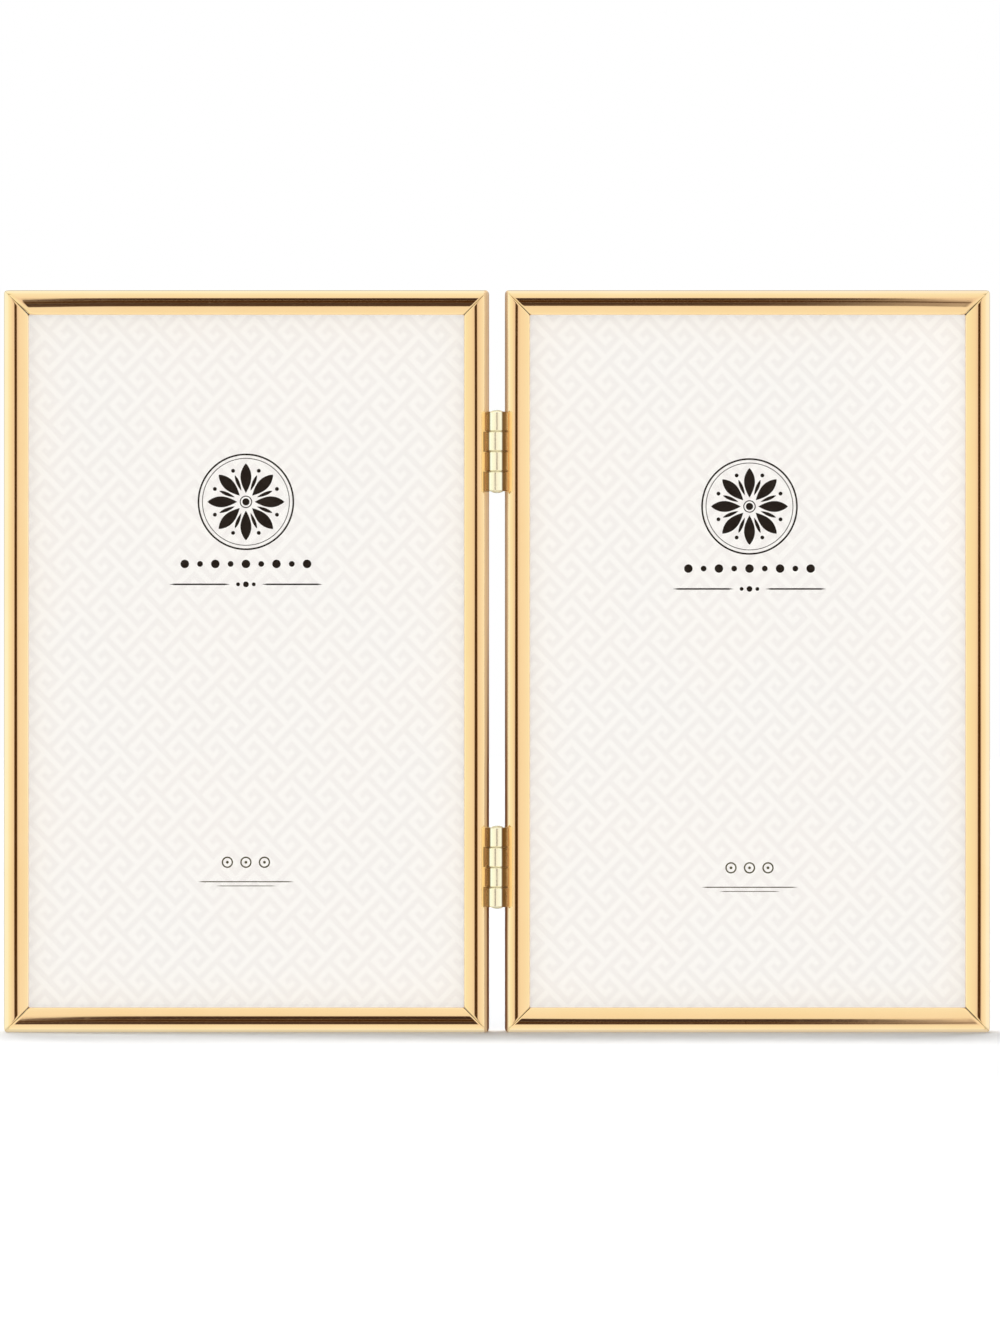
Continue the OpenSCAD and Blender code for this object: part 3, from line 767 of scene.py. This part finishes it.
# ---------------------------------------------------------------- turn buttons
def turn_button(name, px, pz, up, body, node):
    """A stamped turn button: round ends, rolled edges and a drilled eye. up is 1 or -1."""
    length, w, t, hole = 8.5, 2.3, 0.7, 0.56
    y0 = CROWN_Y + 8.2
    r = w / 2
    outline = []
    tip = length - r
    for k in range(25):
        a = math.pi + math.pi * k / 24
        outline.append((r * math.cos(a), r * math.sin(a), math.cos(a), math.sin(a)))
    for k in range(1, 8):
        outline.append((r, tip * k / 8, 1, 0))
    for k in range(25):
        a = math.pi * k / 24
        outline.append((r * math.cos(a), tip + r * math.sin(a), math.cos(a), math.sin(a)))
    for k in range(1, 8):
        outline.append((-r, tip - tip * k / 8, -1, 0))
    e = 0.16
    prof = [(0.05, 0.0), (0.0, 0.05)] + [(0.0, t - e)]
    prof += [(e * (1 - math.cos(math.radians(a))), t - e + e * math.sin(math.radians(a))) for a in (22.5, 45, 67.5, 90)]
    verts, faces, m = [], [], len(outline)

    def put(x, y, z):
        verts.append((px + x, y0 + y, pz + up * z))

    for inset, y in prof:
        for x, z, nx, nz in outline:
            put(x - nx * inset, y, z - nz * inset)
    rings = len(prof)
    for a in range(rings - 1):
        for k in range(m):
            k2 = (k + 1) % m
            faces.append((a * m + k, a * m + k2, (a + 1) * m + k2, (a + 1) * m + k))
    # back and front faces run in to the eye, whose rim is a circle of as many points
    eye = []
    for x, z, nx, nz in outline:
        a = math.atan2(z, x) if (x or z) else 0.0
        eye.append(a)
    for ring, y in ((0, 0.0), (rings - 1, t)):
        base = len(verts)
        for (x, z, nx, nz), a in zip(outline, eye):
            put(hole * math.cos(a), y, hole * math.sin(a))
        for k in range(m):
            k2 = (k + 1) % m
            faces.append((ring * m + k, ring * m + k2, base + k2, base + k))
    f, b = len(verts) - 2 * m, len(verts) - m
    for k in range(m):
        k2 = (k + 1) % m
        faces.append((f + k, f + k2, b + k2, b + k))
    o = make(name, verts, faces, clip_x, 30.0)
    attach(o, body)
    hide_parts(node)
    return o


for side, s in SIDES:
    for end, pz, up in (("bottom", 2.45, 1), ("top", LEAF_H - 2.45, -1)):
        for where, off in (("inner", -28), ("outer", 28)):
            turn_button(f"{side}_{end}_{where}_clip", s * (MID + off), pz, up, f"{side}_{end}_{where}_button",
                        f"{side}_turn_button_{end}_{where}")


# ---------------------------------------------------------------- CAD pieces that keep their shape
FINISH = {"insert": None, "back_board": board_mat, "corner_keys": steel_x, "top_ledge": steel_x,
          "bottom_ledge": steel_x, "turn_button_rivets": rivet_brass, "hinge_rivets": rivet_brass}
for name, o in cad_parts.items():
    if name.endswith("_insert"):
        mat = paper_left if name.startswith("left") else paper_right
    elif "hinge_left_plate" in name or "hinge_right_plate" in name or "hinge_pin" in name:
        mat = brass
    else:
        mat = next((m for k, m in FINISH.items() if name.endswith(k)), None)
    if mat is None:
        continue
    for k in range(len(o.material_slots)):
        o.material_slots[k].link = "OBJECT"
        o.material_slots[k].material = mat


# ---------------------------------------------------------------- floor
def floor():
    verts, faces, m = [], [], 48
    radii = [0.0, 120, 240, 480, 900, 1600, 2800, 4500]
    verts.append((0, 0, 0))
    for r in radii[1:]:
        for k in range(m):
            a = 2 * math.pi * k / m
            verts.append((r * math.cos(a), r * math.sin(a), 0))
    for k in range(m):
        faces.append((0, 1 + k, 1 + (k + 1) % m))
    for c in range(len(radii) - 2):
        for k in range(m):
            k2 = (k + 1) % m
            faces.append((1 + c * m + k, 1 + (c + 1) * m + k, 1 + (c + 1) * m + k2, 1 + c * m + k2))
    mat, n = new_material("floor_card")
    at = n.place()
    grain = n.noise(at, 900.0, 3.0, 0.6)
    p = principled(n, Base_Color=n.mix(n.ramp(grain, 0.3, 0.7), (0.86, 0.86, 0.86), (0.85, 0.85, 0.853)),
                   Roughness=0.9, Normal=n.bump(grain, 0.02 * MM, 0.4))
    surface(n, p.outputs[0])
    o = make("floor", verts, faces, mat)
    if o.data.polygons[0].normal.z < 0:
        o.data.flip_normals()
    o.visible_glossy = o.visible_transmission = o.visible_diffuse = o.visible_shadow = False


floor()


# ---------------------------------------------------------------- light
def studio():
    """A white tent with a narrow dark slot where the camera looks in, and a few dark flags for the metal to draw."""
    world = bpy.data.worlds.new("studio")
    scene.world = world
    world.use_nodes = True
    n = Nodes(world.node_tree)
    x, y, z = n.split(n.add("ShaderNodeTexCoord").outputs["Generated"])
    deg = 180.0 / math.pi
    az = n.mul(n.math("ARCTAN2", x, n.mul(y, -1.0)), deg)
    el = n.mul(n.math("ARCSINE", z), deg)
    side = n.math("ABSOLUTE", az)
    up = n.math("ABSOLUTE", el)

    def window(v, lo, hi, soft):
        return n.mul(n.ramp(v, lo - soft / 2, lo + soft / 2), n.ramp(v, hi - soft / 2, hi + soft / 2, 1.0, 0.0))

    # the tent: warm and a little dimmer next to the slot, cooler and brighter further out
    away = n.math("MAXIMUM", n.math("DIVIDE", side, 1.0), n.mul(up, 0.75))
    tent = n.mix(n.ramp(away, 5.0, 17.0), (0.895, 0.815, 0.785), (0.968, 0.965, 0.915))
    tent = n.mix(n.ramp(away, 17.0, 38.0), tent, (0.990, 1.045, 1.005))
    tent = n.mix(n.ramp(away, 38.0, 78.0), tent, (1.03, 1.19, 1.40))
    # its left side is a little more yellow and its right side a little more pink
    tent = n.mix(n.mul(n.ramp(az, -32.0, -6.0, 1.0, 0.0), 0.6), tent, (1.0, 1.035, 0.96), "MULTIPLY")
    tent = n.mix(n.mul(n.ramp(az, 6.0, 32.0), 0.6), tent, (1.0, 0.975, 0.985), "MULTIPLY")
    # towards the sides its wall fades downward, as a lit cloth does
    fade = n.mul(n.ramp(side, 26.0, 44.0), n.ramp(el, -6.0, -24.0))
    tent = n.mix(n.mul(fade, 0.42), tent, (0.50, 0.47, 0.44))
    ends = n.mul(n.ramp(side, 76.0, 88.0), n.ramp(side, 104.0, 122.0, 1.0, 0.0))
    tent = n.mix(n.mul(n.mul(ends, n.ramp(el, -1.0, -10.0)), 0.40), tent, (0.50, 0.43, 0.36))
    # dark flags off to the sides, above and below, and behind
    high = n.mul(window(el, 30.0, 50.0, 8.0), n.ramp(side, 24.0, 42.0))
    low = n.mul(window(el, -48.0, -26.0, 10.0), n.ramp(side, 24.0, 42.0))
    back = n.mul(window(side, 136.0, 152.0, 6.0), window(el, -30.0, 48.0, 10.0))
    flags = n.math("MAXIMUM", n.math("MAXIMUM", high, low), back)
    # the slot: a tall opening whose top corners are cut away, the right one further down,
    # and a soft-edged cross-piece at the camera's own height
    ceiling = n.minus(13.9, n.plus(n.ramp(az, 3.2, 4.1, 0.0, 14.0, smooth=False), n.ramp(az, -3.4, -4.9, 0.0, 13.0)))
    tall = n.mul(n.ramp(n.minus(el, ceiling), -0.9, 0.9, 1.0, 0.0), n.ramp(el, -16.0, -14.4))
    right_edge = n.blend(n.ramp(el, -2.0, 2.0), n.ramp(az, 2.3, 5.0, 1.0, 0.0), n.ramp(az, 3.0, 4.3, 1.0, 0.0))
    tall = n.mul(tall, n.mul(n.ramp(az, -5.7, -4.8), right_edge))
    level = n.ramp(up, 3.3, 4.3, 1.0, 0.0)
    wider = n.ramp(el, 1.5, -1.5, 0.0, 0.9)
    across = n.ramp(n.minus(n.math("ABSOLUTE", n.plus(az, 0.55)), wider), 2.9, 5.6, 1.0, 0.0)
    slot = n.math("MAXIMUM", n.mul(tall, n.minus(1.0, level)), n.mul(across, level))
    deep = n.mix(n.ramp(el, -13.0, -3.0), (0.092, 0.062, 0.048), (0.052, 0.032, 0.027))
    deep = n.mix(n.mul(level, 0.8), deep, (0.070, 0.028, 0.001))
    colour = n.mix(n.mul(flags, 0.68), tent, (0.26, 0.21, 0.18))
    colour = n.mix(slot, colour, deep)
    ray = n.add("ShaderNodeLightPath").outputs
    colour = n.mix(ray["Is Glossy Ray"], (0.36, 0.362, 0.368), colour)
    colour = n.mix(ray["Is Camera Ray"], colour, (1.0, 1.0, 1.0))
    bg = n.add("ShaderNodeBackground", {"Color": colour, "Strength": 1.0})
    n.add("ShaderNodeOutputWorld", {"Surface": bg.outputs[0]})

    for name, power, spread, colour, turn in (
            ("top_softbox", 1.45, 13, (1.0, 0.992, 0.98), (-12, 2, 0)),
            ("side_softbox", 1.12, 14, (1.0, 0.995, 0.985), (-8, -36, 0)),
            ("back_softbox", 0.80, 30, (1.0, 0.995, 0.99), (-58, 0, 14))):
        lamp = bpy.data.lights.new(name, "SUN")
        lamp.energy, lamp.angle, lamp.color = power, math.radians(spread), colour
        o = bpy.data.objects.new(name, lamp)
        o.rotation_euler = [math.radians(a) for a in turn]
        o.location = (0, 0.3 if name[0] == "t" else -0.8, 1.2)
        o.visible_glossy = o.visible_transmission = False
        scene.collection.objects.link(o)


studio()

# ---------------------------------------------------------------- camera
# Straight on. The photograph is 1000 x 1333 px and shows about 4.64 px to the millimetre at the crowns.
DISTANCE = 1500.0
cam = bpy.data.cameras.new("camera")
cam.sensor_width = 36.0
cam.lens = 4.645 * 36.0 * DISTANCE / 1333.0
cam.clip_start, cam.clip_end = 0.01, 20.0
eye = bpy.data.objects.new("camera", cam)
eye.location = ((500 - 497) / 4.64 * MM, (CROWN_Y - DISTANCE) * MM, (80 - (666.5 - 661.2) / 4.64) * MM)
eye.rotation_euler = (math.radians(90), 0, 0)
scene.collection.objects.link(eye)
scene.camera = eye
# a soft ring light around the lens, so that the lips throw no line of shadow on the paper
lamp = bpy.data.lights.new("ring_light", "POINT")
lamp.energy, lamp.shadow_soft_size, lamp.color = 82.0, 0.04, (1.0, 0.985, 0.97)
ring = bpy.data.objects.new("ring_light", lamp)
ring.location = (eye.location.x, eye.location.y - 0.05, eye.location.z)
ring.visible_camera = ring.visible_glossy = ring.visible_transmission = False
scene.collection.objects.link(ring)
scene.view_settings.view_transform = "Standard"
scene.view_settings.look = "None"

bpy.context.view_layer.update()
